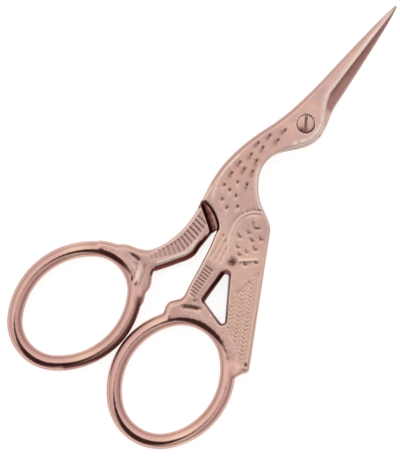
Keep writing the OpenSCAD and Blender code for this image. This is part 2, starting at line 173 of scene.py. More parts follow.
STORK_COLLAR = beside_all(STORK_RING, [(118.2, 3.3), (121, 2.6), (126, 2.32), (129.4, 2.1),
                                       (132.3, 1.32), (134, 0.4), (134.4, -0.5), (133, -1.3)])
TAIL_END = beside_all(STORK_RING, [(36, -1.3), (33, -0.9), (31.5, -0.2), (31.8, 0.45),
                                   (33.7, 1.53), (34.5, 2.62), (36.6, 3.05)])
PLAIN_COLLAR_LEFT = beside_all(PLAIN_RING, [(87.1, 4.24), (92.9, 2.74), (102.6, 1.71),
                                            (108.2, 0.77), (117, 0.34), (124, 0.1),
                                            (127, -0.6), (124, -1.4)])
PLAIN_COLLAR_RIGHT = beside_all(PLAIN_RING, [(51, -1.4), (47, -0.9), (45.6, -0.2), (47, 0.3),
                                             (50.6, 0.48), (54.6, 0.7), (56.5, 1.13),
                                             (60.2, 1.84), (63.8, 2.21), (67.7, 2.55),
                                             (70.5, 3.1)])
# The window between leg and tail: its corners, and the widths of its rounding beside them
WINDOW = [(6.45, -36.3), beside(STORK_RING, 101.8, 2.83), beside(STORK_RING, 75.3, 0.42)]
WINDOW_WIDTHS = [0.55, 1.3, 0.55, 0.55]
WINDOW_R = 0.6
WINDOW_WALL_T = 0.9 * MID_Z
WINDOW_TURN_STEPS = 6
# Between these heights the stork's lower layer stops beside the plain half's neck
RECESS_TOP = -18.0
RECESS_END = -32.0


def curve(rows, steps=6):
    """Smooth curve through rows of numbers, as short chords."""
    p = np.array(rows, dtype=float)
    ends = np.vstack([p[:1], p, p[-1:]])
    out = []
    for i in range(len(p) - 1):
        a, b, c, d = ends[i:i + 4]
        for k in range(steps):
            t = k / steps
            out.append(0.5 * (2 * b + (c - a) * t + (2 * a - 5 * b + 4 * c - d) * t * t
                              + (3 * b - a - 3 * c + d) * t ** 3))
    out.append(p[-1])
    return np.array(out)


def edge(points, wide=EDGE_R, high=EDGE_R, power=ROUND):
    """Rim rows: x, y, width and height of the rounding there, and how round it is."""
    return [(x, y, wide, high, power) for x, y in points]


def soft(rows, reach=9):
    """A closed rim whose roundings run into each other."""
    rim = np.vstack(rows)
    sums = sum(np.roll(rim[:, 2:], k, axis=0) for k in range(-reach, reach + 1))
    rim[:, 2:] = sums / (2 * reach + 1)
    return rim


def blade_steps():
    """Shares of the blade's length below its tip, closest together at the tip."""
    return [(i / BLADE_STEPS) ** 1.5 for i in range(BLADE_STEPS + 1)]


def blade_y(s):
    return BLADE_LEN - s * (BLADE_LEN - BLADE_ROOT)


def swell(tip, root, s, power):
    """A measure of the blade at share s of its length, between those at tip and root."""
    return tip + (root - tip) * s ** power


def blade_t(s):
    return swell(BLADE_TIP_T, LAYER_T, s, 0.7)


def blade_w(s):
    """Width from the blades' axis to the spine."""
    return swell(BLADE_TIP_W / 2, BLADE_ROOT_W, s, 0.75)


def blade_over(s):
    """Width from the blades' axis to the cutting edge, beyond it."""
    return swell(BLADE_TIP_W / 4, BLADE_OVERLAP, s, 0.3)


def spine_rim(side):
    """The spine, on the left (-1) or the right (1) of the blades."""
    return np.array([(BLADE_AXIS_X + side * blade_w(s), blade_y(s), min(EDGE_R, 0.45 * blade_w(s)),
                      min(EDGE_R, 0.6 * blade_t(s)), ROUND) for s in blade_steps()])


def cutting_rim(side):
    """The bevelled cutting edge of the blade whose spine is on the given side."""
    return np.array([(BLADE_AXIS_X - side * blade_over(s), blade_y(s),
                      min(BEVEL_W, 0.6 * blade_w(s)), 0.9 * blade_t(s), BEVEL_POWER)
                     for s in blade_steps()])


def stork_lower_edge():
    """The rim from the leg round the ring and up the tail, which both layers have."""
    tip = TAIL_END[-1]
    side = [tuple(np.add(tip, t * np.subtract(CHEST[0], tip))) for t in (0.25, 0.5, 0.75)]
    return [curve(edge(LEG_LEFT) + edge(STORK_COLLAR, *COLLAR_END)),
            np.array(edge(in_wire(STORK_RING, 128, 40, -8), *COLLAR_END)),
            curve(edge(TAIL_END, *COLLAR_END)),
            np.array(edge(side))]


def stork_upper_rim():
    back = edge(NAPE, *NAPE_ROUND) + edge(LAP_CORNER, EDGE_R / 2) + edge(LAP_EDGE, *LAP_WALL)
    return soft([spine_rim(-1),
                 curve(back),
                 *stork_lower_edge(),
                 curve(edge(CHEST + STORK_THROAT, *LIP_ROUND)),
                 cutting_rim(-1)[::-1]])


def stork_lower_rim():
    recess_shade = [(x + SIDE_GAP, y) for x, y in PLAIN_NECK_RIGHT[::-1] if RECESS_END < y < RECESS_TOP]
    chest = curve(edge(CHEST, *LIP_ROUND))
    return soft([curve(edge(recess_shade, *RECESS_ROUND)),
                 *stork_lower_edge(),
                 chest[chest[:, 1] < RECESS_TOP]], 2)


def plain_arm_edge():
    """The rim down the arm, round the ring and up the fork, which both layers have."""
    return [curve(edge(ARM_LEFT) + edge(PLAIN_COLLAR_LEFT, *COLLAR_END)),
            np.array(edge(in_wire(PLAIN_RING, 118, 58, -10), *COLLAR_END)),
            curve(edge(PLAIN_COLLAR_RIGHT, *COLLAR_END) + edge(ARM_RIGHT, *FORK_WALL))]


def plain_lower_rim():
    back = [p for p in NAPE if p[1] < -13] + LAP_CORNER[:1]
    return soft([cutting_rim(1),
                 curve(edge(PLAIN_BROW + back)),
                 *plain_arm_edge(),
                 curve(edge(PLAIN_NECK_RIGHT + PLAIN_THROAT)),
                 spine_rim(1)[::-1]])


def plain_upper_rim():
    return soft([*plain_arm_edge(), curve(edge(ARM_STEP, *LAP_WALL))], 3)


def window_rim():
    """The window's rim, rounded at its corners. Its wall beside the leg leans back most."""
    rows = []
    corners = [np.array(c) for c in WINDOW]
    for i, here in enumerate(corners):
        back, on = corners[i - 1] - here, corners[(i + 1) % 3] - here
        a, b = math.atan2(back[1], back[0]), math.atan2(on[1], on[0])
        half = (a - b) % (2 * math.pi) / 2
        inward = np.array([math.cos(b + half), math.sin(b + half)])
        centre = here + WINDOW_R / math.sin(half) * inward
        steps = WINDOW_TURN_STEPS
        for k in range(-steps, steps + 1):
            turn = b + half + (math.pi / 2 - half) * k / steps
            grow = (WINDOW_WIDTHS[i + 1] - WINDOW_WIDTHS[i]) * (k + steps) / (2 * steps)
            rows.append((centre[0] - WINDOW_R * math.cos(turn),
                         centre[1] - WINDOW_R * math.sin(turn),
                         WINDOW_WIDTHS[i] + grow, WINDOW_WALL_T, ROUND))
    return np.array(rows)


# Grid cells of the halves and the screw, and how far from a line distances are worked out
HALF_STEP = 0.13
SCREW_STEP = 0.05
REACH = 2.6
# Height from which the grid is squeezed, and how much at the tips, with the power of its growth
SQUEEZE_FROM = 6
SQUEEZE_ACROSS = (0.72, 0.9)
SQUEEZE_UP = (0.62, 1.5)
NUDGE = 0.01


class Sheet:
    """A grid over the part: columns across, rows along Y, and layers up.

    Beyond the pivot the grid is squeezed towards the blades' axis and mid plane, so that the
    fine blades get as many cells as the rest."""

    def __init__(self, low, high, step, squeezed=True):
        self.step = step
        self.squeezed = squeezed
        self.low = low
        u, self.v, w = [np.arange(a, b, step, dtype=np.float32) for a, b in zip(low, high)]
        self.squeeze, up = self.squeeze_at(self.v)
        self.x = BLADE_AXIS_X + (u[None, :] - BLADE_AXIS_X) * self.squeeze[:, None]
        self.y = np.broadcast_to(self.v[:, None], self.x.shape)
        self.z = MID_Z + (w[:, None, None] - MID_Z) * up[None, :, None]

    def squeeze_at(self, y):
        """How far the grid is squeezed at a height: across, and in thickness."""
        if not self.squeezed:
            return np.ones_like(y), np.ones_like(y)
        share = np.clip((y - SQUEEZE_FROM) / (BLADE_LEN - SQUEEZE_FROM), 0, 1)
        return [1 - most * share ** power for most, power in (SQUEEZE_ACROSS, SQUEEZE_UP)]

    def window(self, a, b):
        """Rows and columns within reach of the line from a to b."""
        k = self.squeeze_at(np.array([a[1], b[1]]))[0]
        us = BLADE_AXIS_X + (np.array([a[0], b[0]]) - BLADE_AXIS_X) / k
        lo = (np.array([us.min(), min(a[1], b[1])]) - REACH - self.low[:2]) / self.step
        hi = (np.array([us.max(), max(a[1], b[1])]) + REACH - self.low[:2]) / self.step
        lo = np.clip(lo, 0, None).astype(int)
        hi = np.clip(hi, 0, None).astype(int) + 2
        return np.s_[lo[1]:hi[1], lo[0]:hi[0]]

    def unsqueezed(self, points):
        """Grid positions (column, row, layer) as millimetres, without the squeeze."""
        return (np.array(self.low, np.float32) + points * self.step).T

    def place(self, points):
        """Grid positions as millimetres."""
        u, v, w = self.unsqueezed(points)
        k, k_z = self.squeeze_at(v)
        return np.stack([BLADE_AXIS_X + (u - BLADE_AXIS_X) * k, v, MID_Z + (w - MID_Z) * k_z], 1)

    def normals(self, field, points):
        """Directions out of the field's surface at grid positions."""
        rise = [look_up(g, points) for g in np.gradient(field)]
        u, v, w = self.unsqueezed(points)
        k, k_z = self.squeeze_at(v)
        slope = (np.array(self.squeeze_at(v + NUDGE)) - self.squeeze_at(v - NUDGE)) / (2 * NUDGE)
        u = (u - BLADE_AXIS_X) * slope[0] / k
        w = (w - MID_Z) * slope[1] / k_z
        out = np.stack([rise[2] / k, rise[1] - u * rise[2] - w * rise[0], rise[0] / k_z], 1)
        return out / np.maximum(np.linalg.norm(out, axis=1, keepdims=True), 1e-9)

    def bulge(self, field, points, reach=2):
        """How sharply the surface bends outward (or inward, if negative), per millimetre."""
        blurred = field
        for axis in range(3):
            shifts = range(-reach, reach + 1)
            blurred = sum(np.roll(blurred, k, axis) for k in shifts) / (2 * reach + 1)
        spread = self.step ** 2 * (reach * reach + reach) / 3
        k = self.squeeze_at(self.unsqueezed(points)[1])[0]
        return look_up(blurred - field, points) / (spread * k)


def smooth(t):
    """0 below 0 and 1 above 1, with an even rise between them."""
    t = np.clip(t, 0, 1)
    return t * t * (3 - 2 * t)


def to_line(sheet, a, b):
    """The grid window near the line from a to b, the distance to it, and how far along it."""
    near = sheet.window(a, b)
    x, y = sheet.x[near], sheet.y[near]
    dx, dy = b[0] - a[0], b[1] - a[1]
    along = np.clip(((x - a[0]) * dx + (y - a[1]) * dy) / max(dx * dx + dy * dy, 1e-9), 0, 1)
    return near, np.hypot(x - a[0] - along * dx, y - a[1] - along * dy), along


def outline(sheet, rim):
    """Distance inside a closed rim (negative outside it), and the rim's rounding there. Beyond
    reach of the rim the distance stays at the reach, which is squeezed as the grid is."""
    away = np.full(sheet.x.shape, REACH, np.float32)
    away *= sheet.squeeze[:, None]
    traits = [np.full(sheet.x.shape, rim[:, c].mean(), np.float32) for c in (2, 3, 4)]
    inside = np.zeros(sheet.x.shape, bool)
    for a, b in zip(rim, np.roll(rim, -1, axis=0)):
        near, d, along = to_line(sheet, a, b)
        closer = d < away[near]
        away[near][closer] = d[closer]
        for trait, c in zip(traits, (2, 3, 4)):
            trait[near][closer] = (a[c] + (b[c] - a[c]) * along)[closer]
        rows = (sheet.v >= min(a[1], b[1])) & (sheet.v < max(a[1], b[1]))
        if rows.any():
            cross = a[0] + (b[0] - a[0]) * (sheet.v[rows] - a[1]) / (b[1] - a[1])
            inside[rows] ^= sheet.x[rows] > cross[:, None]
    return np.where(inside, away, -away), traits


def dome(rounded, top, z):
    """Negative below the rounded top of a plate, and inside its outline."""
    inside, (wide, high, power) = rounded
    wide = np.maximum(wide, 0.05)[None]
    high = np.maximum(np.minimum(high[None], top * 0.95), 0.05)
    a = np.maximum(1 - inside[None] / wide, 0)
    b = np.maximum((z - (top - high)) / high, 0)
    r = (a ** power + b ** power) ** (1 / power)
    total = a * a + b * b
    flat = total < 1e-9
    scale = (a * a * wide + b * b * high) / np.where(flat, 1, total)
    return np.where(flat, -np.minimum(wide, high), (r - 1) * scale)


def wire(sheet, ring, z):
    """Distance outside a ring's round wire."""
    c, s = math.cos(ring["lean"]), math.sin(ring["lean"])
    u = np.abs((sheet.x - ring["x"]) * c + (sheet.y - ring["y"]) * s)
    v = np.abs((sheet.y - ring["y"]) * c - (sheet.x - ring["x"]) * s)
    rise = ring["b"] - ring["r"]
    end = (v > rise) & (u * rise < (v - rise) * (ring["big"] - ring["a"]))
    middle = np.where(end, np.hypot(u, v - rise) - ring["r"],
                      np.hypot(u + ring["big"] - ring["a"], v) - ring["big"])
    return np.sqrt(middle[None] ** 2 + (z - RING_Z) ** 2) - WIRE_R


def union(a, b, blend=0.0):
    """Both solids, with a fillet about as wide as the blend where they meet."""
    if blend == 0:
        return np.minimum(a, b)
    near = np.maximum(blend - np.abs(a - b), 0)
    return np.minimum(a, b) - near * near / (4 * blend)


def path(sheet, points, steps=6):
    """Distance to an open curve, how far along it, and how far across it (right is positive)."""
    line = curve(points, steps)[:, :2]
    away = np.full(sheet.x.shape, REACH, np.float32)
    along_all = np.zeros(sheet.x.shape, np.float32)
    across = np.full(sheet.x.shape, REACH, np.float32)
    start = 0.0
    for a, b in zip(line, line[1:]):
        near, d, along = to_line(sheet, a, b)
        length = math.hypot(*(b - a))
        closer = d < away[near]
        side = (sheet.x[near] - a[0]) * (b[1] - a[1]) - (sheet.y[near] - a[1]) * (b[0] - a[0])
        away[near][closer] = d[closer]
        along_all[near][closer] = (start + along * length)[closer]
        across[near][closer] = (np.sign(side) * d)[closer]
        start += length
    return away, along_all, across, start


def groove(sheet, points, width):
    """1 along a curve, falling to 0 beside it, and tapering at its ends."""
    away, along, _, length = path(sheet, points)
    taper = smooth(along / (2 * width)) * smooth((length - along) / (2 * width))
    return np.exp(-(away / width) ** 2) * (0.25 + 0.75 * taper)


def pit(sheet, x, y, r):
    """1 at a point, falling to 0 round it."""
    return np.exp(-((sheet.x - x) ** 2 + (sheet.y - y) ** 2) / (r * r))


def arc(centre, r, start, turn, steps=16):
    """Points along an arc, by angles in degrees."""
    angles = [math.radians(start + turn * k / steps) for k in range(steps + 1)]
    return [(centre[0] + r * math.cos(t), centre[1] + r * math.sin(t)) for t in angles]


# Feather marks down the neck: where each one starts, and its direction in degrees
FEATHERS = [(-2.7, -4.1, -102), (-2.6, -6.8, -96), (-4.7, -7.1, -90), (-5.7, -10.1, -96),
            (-4.3, -10.3, -75), (-5.4, -13.1, -84), (-3.6, -13.5, -71), (-2.8, -15.9, -70),
            (-6.3, -16.1, -87), (-4.6, -16.7, -81), (-6.3, -19.1, -83), (-2, -19, -67),
            (-4, -19.9, -60), (-6, -22.3, -64), (-4.3, -22.4, -64), (-2.4, -22.6, -58),
            (-0.6, -24.3, -70), (-4.4, -25.1, -58), (-2.4, -26, -64)]
FEATHER_LEN = 1.7
# Below this height the feather marks are rubbed bright
RUBBED_FEATHERS = -19.5
# Feather marks on the back: only those left of this line
BACK_FEATHERS = -2
# Crescents on the wing, each as three points
CRESCENTS = [((4.2, -24.8), (5.4, -25.8), (6.6, -25.1)), ((3.2, -29.0), (3.8, -29.5), (4.5, -29.2)),
             ((5.9, -28.2), (6.6, -28.5), (7.3, -28.3)), ((7.6, -29.2), (8.3, -29.7), (9.1, -29.3)),
             ((6.7, -30.8), (7.2, -31.3), (7.8, -31.0)), ((5.8, -32.3), (6.3, -32.8), (7.0, -32.5)),
             ((8.0, -33.3), (8.6, -33.8), (9.3, -33.4)), ((9.8, -31.6), (10.4, -32.0), (11, -31.6)),
             ((4.4, -27.1), (4.9, -27.6), (5.5, -27.3)), ((7.4, -26.6), (8.0, -27.1), (8.6, -26.8)),
             ((4.6, -31.2), (5.0, -31.7), (5.6, -31.4))]
# The wing's raised edge: an arc over its bend, and a flatter one down its side
WING_BEND = (6.6, -27)
WING_BEND_R = 5.26
WING_SIDE_R = 11.8
WING_TOP = 106
WING_JOIN = 186.5
WING_SIDE_TURN = 43
WING_SIDE = [c - (WING_SIDE_R - WING_BEND_R) * f(math.radians(WING_JOIN))
             for c, f in zip(WING_BEND, (math.cos, math.sin))]
WING_EDGE = (arc(WING_BEND, WING_BEND_R, WING_TOP, WING_JOIN - WING_TOP)
             + arc(WING_SIDE, WING_SIDE_R, WING_JOIN, WING_SIDE_TURN)[1:])
NAPE_RIDGE = [(-7.3, -14), (-7.9, -18), (-7.8, -21), (-7.1, -24), (-5.6, -27.4)]
COVERT_LINE = [(6.6, -34.3), (8.75, -32.45), (10.9, -30.6)]
BODY_FOLDS = [[(0.8, -31), (1.3, -34), (1.7, -37.3)], [(1.9, -31.8), (2.5, -34.4), (2.9, -37.3)],
              [(3.1, -33), (3.7, -35.3), (4.1, -37)]]
# The tail's lines lie at these distances from its outer edge. They start some way down it, the
# inner ones later, and keep clear of its end and of the leg.
TAIL_START = np.array(CHEST[0])
TAIL_LEN = float(np.linalg.norm(np.array(TAIL_END[-1]) - TAIL_START))
TAIL_WAY = (np.array(TAIL_END[-1]) - TAIL_START) / TAIL_LEN
TAIL_LINES = [1.3, 3.25, 5.2]
TAIL_FROM = 7.3
TAIL_SLANT = 1.2
TAIL_CLEAR = 0.7
TAIL_LEFT = 6.6
BARB_PITCH = 0.95
BARB_SLANT = 1.1
STORK_COLLAR_LINE = [(3.3, -49.9), (5.0, -48.8), (7.0, -47.8)]
PLAIN_COLLAR_LINE = [(-13.2, -47.5), (-11.75, -47.4), (-10.3, -47.5)]
SHANK_RIDGE = [(-10.2, -47.8), (-9.1, -49.1), (-8.5, -50.8), (-7.9, -52.7)]
ARM_PANEL = [(-4.95, -30.6), (-4.9, -34), (-5.0, -37.4), (-5.6, -39.6), (-6.9, -41.9),
             (-8.3, -43.9), (-9.4, -45.4)]
# Ribs on the arm: pitch, half width of their panel and how much it narrows, their tilt at the
# top, and their depth and patina
ARM_RIB_PITCH = 1.05
ARM_RIB_W = 1.55
ARM_RIB_NARROWING = 0.55
ARM_RIB_TILT = 0.14
ARM_RIB_CUT = (0.085, 0.15)
# Ribs on the leg: pitch, and their panel's lean, top, middle, half width and length
LEG_RIB_PITCH = 0.78
LEG_RIB_LEAN = 0.06 / LEG_RIB_PITCH
LEG_RIB_TOP = -38.6
LEG_RIB_MIDDLE = (2.95, -39)
LEG_RIB_W = 1.15
LEG_RIB_LEN = 8.1
LEG_RIB_CUT = (0.075, 0.14)
# Dark dents over the window, at the tail's tip and on the leg: x, y, radius, depth and patina
DENTS = [(6.3, -34.9, 0.75, 0.14, 1.5), (5.6, -35.4, 0.5, 0.06, 0.5),
         (22.9, -51.4, 0.4, 0.14, 0.9), (4.8, -47, 0.4, 0.1, 0.5)]
# Golden patches on the head, neck and wing, and painted warm reflections on the rings: x, y and
# radius
GOLDEN_SPOTS = [(-0.5, 4.2, 2.0), (-2.4, -3.2, 1.6), (3.4, -23.6, 1.5)]
STORK_GLINTS = [(0.8, -55.5, 3.2), (21.8, -72.9, 3.6)]
PLAIN_GLINTS = [(-6.7, -72.5, 3.6), (-23.5, -54.3, 3.0)]
# Where the right end of each collar runs out onto the wire
STORK_COLLAR_TIP = (21.3, -54.5)
PLAIN_COLLAR_TIP = (-5.6, -54.6)
# Painted shade where the plain half's ring lies against the other one: angle, and how far outside
# the wire's middle
RING_CONTACT_SHADE = [(50, 1.1), (40, 1.1), (25, 1.1), (10, 1.1), (-5, 1.0), (-20, 0.85),
           (-33, 0.65), (-42, 0.6)]


class Relief:
    """The carving's depth in the faces, its patina with some painted shade, where they are rubbed
    bright, partly as painted highlights, and where they are golden.
    """

    def __init__(self, sheet):
        self.sheet = sheet
        self.deep, self.dark, self.wear, self.gilt_and_glint = np.zeros((4, *sheet.x.shape), np.float32)

    def add(self, shape, deep, dark):
        self.deep += deep * shape
        self.dark += dark * shape

    def line(self, points, width, deep, dark):
        """An engraved line along a curve."""
        self.add(groove(self.sheet, points, width), deep, dark)

    def rub_and_highlight(self, points, offset, width, share, raised=0.03):
        """A low ridge, rubbed bright and partly a painted highlight, at a distance beside a curve.
        """
        away, along, _, length = path(self.sheet, points)
        ends = smooth(along / 1.5) * smooth((length - along) / 1.5)
        band = np.exp(-((away - offset) / width) ** 2) * ends
        self.deep -= raised * band
        self.wear += share * band

    def contour(self, ring, start, end):
        """A rubbed band, partly a painted highlight, along the outer side of the wire, where it
        runs into the web.
        """
        self.rub_and_highlight([beside(ring, angle, -0.5) for angle in range(start, end, 6)], 0, 0.45, 0.45, 0)

    def feathers(self, left_of=math.inf):
        """Dotted marks down the neck, each with a soft body below its dot."""
        for x, y, way in FEATHERS:
            if x < left_of:
                u, v = math.cos(math.radians(way)), math.sin(math.radians(way))
                body = [(x + t * FEATHER_LEN * u, y + t * FEATHER_LEN * v) for t in (0, 0.5, 1)]
                if y > RUBBED_FEATHERS:
                    self.line(body, 0.46, 0.08, 0.62)
                else:
                    self.wear += 0.55 * groove(self.sheet, body, 0.4)
                self.add(pit(self.sheet, x + 0.1 * u, y + 0.1 * v, 0.3), 0.12, 0.5)

    def ribs(self, along, across, pitch, width, length, deep, dark):
        """Grooves across a sunk panel that runs along a line."""
        panel = smooth((width - np.abs(across)) / 0.25)
        panel = panel * smooth(along / 0.4) * smooth((length - along) / 0.4)
        cuts = (1 - np.abs(np.sin(math.pi * along / pitch))) ** 1.5
        self.add(panel * (0.25 + cuts), deep, dark)


def spots_on(rim, rows):
    """Points picked from a rim."""
    return [(row[0], row[1]) for row in rim[rows]]


def carve_wing(sheet, relief):
    """Crescents, the raised edge with a dark line on both sides, and the coverts' bright line."""
    for points in CRESCENTS:
        relief.line(points, 0.26, 0.08, 0.3)
    _, along, across, length = path(sheet, WING_EDGE, 2)
    ends = smooth(along / 0.8) * smooth((length - along) / 0.8)
    relief.add(np.exp(-((np.abs(across) - 0.42) / 0.22) ** 2) * ends, 0.035, 0.02)
    relief.wear += 0.8 * np.exp(-(across / 0.2) ** 2) * ends
    relief.rub_and_highlight(COVERT_LINE, 0, 0.3, 0.7, 0.06)


def carve_tail(sheet, relief):
    """Lines down the tail, and between them barbs that meet in a chevron."""
    x, y = sheet.x - TAIL_START[0], sheet.y - TAIL_START[1]
    along = x * TAIL_WAY[0] + y * TAIL_WAY[1]
    inward = x * TAIL_WAY[1] - y * TAIL_WAY[0]
    tail = (smooth(along - TAIL_FROM - TAIL_SLANT * inward)
            * smooth((TAIL_LEN - TAIL_CLEAR - along) / 0.8)
            * smooth((sheet.x - TAIL_LEFT) / 0.6)
            * smooth((wire(sheet, STORK_RING, RING_Z)[0] - 0.3) / 0.4))
    half = (TAIL_LINES[1] - TAIL_LINES[0]) / 2
    for offset in TAIL_LINES:
        relief.add(np.exp(-((inward - offset) / 0.2) ** 2) * tail, 0.07, 0.12)
        from_middle = np.abs(inward - offset - half)
        band = smooth((half - 0.15 - from_middle) / 0.3) * tail
        turns = (along + BARB_SLANT * from_middle) / BARB_PITCH
        relief.add((0.5 + 0.5 * np.cos(2 * math.pi * turns)) * band, 0.025, 0.03)


def stork_relief(sheet):
    relief = Relief(sheet)
    relief.feathers()
    carve_wing(sheet, relief)
    carve_tail(sheet, relief)
    for points in BODY_FOLDS:
        relief.line(points, 0.3, 0.06, 0.08)
    relief.line(STORK_COLLAR_LINE, 0.32, 0.2, 0.85)
    relief.ribs(LEG_RIB_TOP - sheet.y,
                sheet.x - LEG_RIB_MIDDLE[0] - LEG_RIB_LEAN * (LEG_RIB_MIDDLE[1] - sheet.y),
                LEG_RIB_PITCH, LEG_RIB_W, LEG_RIB_LEN, *LEG_RIB_CUT)
    for x, y, r, deep, dark in DENTS:
        relief.add(pit(sheet, x, y, r), deep, dark)

    throat = STORK_THROAT[2:] + spots_on(cutting_rim(-1), np.s_[BLADE_STEPS:3:-4])
    relief.rub_and_highlight(throat, 0.56, 0.38, 1.4)
    relief.rub_and_highlight(CHEST[3:], 0.62, 0.3, 0.9)
    relief.rub_and_highlight(NAPE_RIDGE, 0, 0.3, 0.8)
    relief.contour(STORK_RING, 48, 122)
    # Painted shade along the sloping rim of the spine and nape
    back = spots_on(spine_rim(-1), np.s_[3::4]) + NAPE
    relief.dark += 0.2 * smooth((1.1 - path(sheet, back)[0]) / 0.6)
    for x, y, r in GOLDEN_SPOTS:
        relief.gilt_and_glint += 0.6 * pit(sheet, x, y, r)
    wing_and_tail = np.maximum(smooth((sheet.x - 5.8) / 1.2), smooth((sheet.y + 38.5) / 1.5))
    relief.gilt_and_glint += 0.75 * smooth((-25 - sheet.y) / 7) * wing_and_tail
    return relief


def plain_relief(sheet):
    relief = Relief(sheet)
    _, along, across, length = path(sheet, ARM_PANEL)
    width = ARM_RIB_W - ARM_RIB_NARROWING * smooth((along - 8) / 7)
    tilt = ARM_RIB_TILT * smooth((9 - along) / 3)
    relief.ribs(along + tilt * across, across, ARM_RIB_PITCH, width, length, *ARM_RIB_CUT)
    relief.line(PLAIN_COLLAR_LINE, 0.3, 0.2, 0.85)
    relief.contour(PLAIN_RING, 66, 112)
    relief.rub_and_highlight(SHANK_RIDGE, 0, 0.4, 0.85, 0.07)
    relief.rub_and_highlight(ARM_RIGHT, 1.5, 0.42, 1.4)
    for side in (-0.85, 0.9):
        relief.line([(x + side, y + 0.3 * side) for x, y in SHANK_RIDGE], 0.34, 0.06, 0.2)
    return relief


def on_faces(sheet, deep):
    """The carving, in both faces but not in the walls. Nothing stands out of the lower face."""
    deep = np.where(sheet.z < MID_Z, np.maximum(deep, 0)[None], deep[None])
    return deep * face_share(sheet.z)


def near_line(sheet, points, reach):
    """1 near an open curve, and 0 beyond the given reach."""
    return smooth((reach - path(sheet, points)[0]) / 0.35)


def layer_top(sheet):
    """Thickness of a half's layer: even, and falling along the blade to its tip."""
    return blade_t(np.clip((BLADE_LEN - sheet.y) / (BLADE_LEN - BLADE_ROOT), 0, 1))[None]


def between_faces(plate, z):
    """A plate, cut off at the scissors' two faces."""
    return np.maximum(plate, np.maximum(-z, z - STACK_T))


def stork_field(sheet):
    z = sheet.z
    rise = z - STORK_LAP_Z
    upper = np.maximum(dome(outline(sheet, stork_upper_rim()), layer_top(sheet), rise), -rise)
    body = outline(sheet, stork_lower_rim())
    whole = np.maximum(dome(body, LAYER_T, rise), dome(body, MID_Z, MID_Z - z))
    plate = union(upper, whole)
    inside, (wide, high, _) = outline(sheet, window_rim())
    grow = np.maximum((np.abs(z - MID_Z) - (MID_Z - high)) / high, 0)
    flare = wide * (1 - np.maximum(1 - grow ** WALL_POWER, 0) ** (1 / WALL_POWER))
    plate = np.maximum(plate, inside[None] + flare)
    plate = union(plate, wire(sheet, STORK_RING, z), WIRE_BLEND)
    from_pivot = np.hypot(sheet.x, sheet.y)[None]
    bore = SHANK_R + SHANK_CLEAR - from_pivot
    gap = HEAD_CLEAR * (1 - HEAD_TIGHT * (1 - lit_and_shaded(sheet.x, sheet.y)[1]))
    seat = np.minimum(HEAD_R + gap[None] - from_pivot, z - SEAT_Z)
    return between_faces(np.maximum(plate, np.maximum(bore, seat)), z)


def plain_field(sheet):
    z = sheet.z
    drop = PLAIN_LAP_Z - z
    lower = np.maximum(dome(outline(sheet, plain_lower_rim()), layer_top(sheet), drop), -drop)
    arm = outline(sheet, plain_upper_rim())
    whole = np.maximum(dome(arm, MID_Z, z - MID_Z), dome(arm, MID_Z, MID_Z - z))
    plate = union(union(lower, whole), wire(sheet, PLAIN_RING, z), WIRE_BLEND)
    return between_faces(np.maximum(plate, THREAD_R - np.hypot(sheet.x, sheet.y)[None]), z)


def look_up(values, points):
    """Values on the grid (layer, row, column) or on one of its layers, at grid positions."""
    spots = [points[:, c] for c in (2, 1, 0)[-values.ndim:]]
    spots = [np.clip(p, 0, n - 1.001) for p, n in zip(spots, values.shape)]
    bases = [p.astype(int) for p in spots]
    total = 0
    for corner in np.ndindex(*(2,) * values.ndim):
        share = 1
        for p, base, step in zip(spots, bases, corner):
            share = share * (p - base if step else 1 - (p - base))
        total = total + share * values[tuple(base + step for base, step in zip(bases, corner))]
    return total


# How flat the surface has to be for its cells to be joined
ADAPT = 0.008


def mesh_field(name, sheet, field, paint, lean=None):
    """Meshes the field's surface. paint gives named values from each vertex's grid position,
    place, normal and bulge. lean is how much the shading leans towards the handles."""
    grid = openvdb.FloatGrid()
    grid.copyFromArray(np.ascontiguousarray(field.transpose(2, 1, 0)), tolerance=0)
    points, triangles, quads = grid.convertToPolygons(isovalue=0.0, adaptivity=ADAPT)
    places = sheet.place(points)
    normals = sheet.normals(field, points)
    if lean is not None:
        normals[:, 1] -= look_up(lean, points)
        normals /= np.linalg.norm(normals, axis=1, keepdims=True)
    corners = np.concatenate([triangles.ravel(), quads.ravel()])
    sizes = np.concatenate([np.full(len(triangles), 3), np.full(len(quads), 4)])
    mesh = bpy.data.meshes.new(name)
    mesh.vertices.add(len(points))
    mesh.vertices.foreach_set("co", (places * MM).astype(np.float32).ravel())
    mesh.loops.add(len(corners))
    mesh.loops.foreach_set("vertex_index", corners.astype(np.int32))
    mesh.polygons.add(len(sizes))
    starts = np.concatenate([[0], np.cumsum(sizes)[:-1]])
    mesh.polygons.foreach_set("loop_start", starts.astype(np.int32))
    mesh.update(calc_edges=True)
    mesh.polygons.foreach_set("use_smooth", np.ones(len(sizes), bool))
    for trait, values in paint(points, places, normals, sheet.bulge(field, points)).items():
        layer = mesh.attributes.new(trait, "FLOAT", "POINT")
        layer.data.foreach_set("value", np.clip(values, 0, 1).astype(np.float32))
    mesh.normals_split_custom_set_from_vertices(normals.tolist())
    piece = bpy.data.objects.new(name, mesh)
    bpy.context.scene.collection.objects.link(piece)
    return piece


# How much the normals of a ring's lower end lean down, and those of the collar's tip up
RING_LEAN = 0.07
TIP_LEAN = 0.45
TIP_R = 1.5
# The screw and its seat get painted shade towards this side, and painted light on the other
SHADE_WAY = math.radians(-50)
# The blades' inner faces are ground, and darkened as painted shade, from this height up, and this
# deep
GROUND_FROM = 5.3
GROUND_DEPTH = 0.12


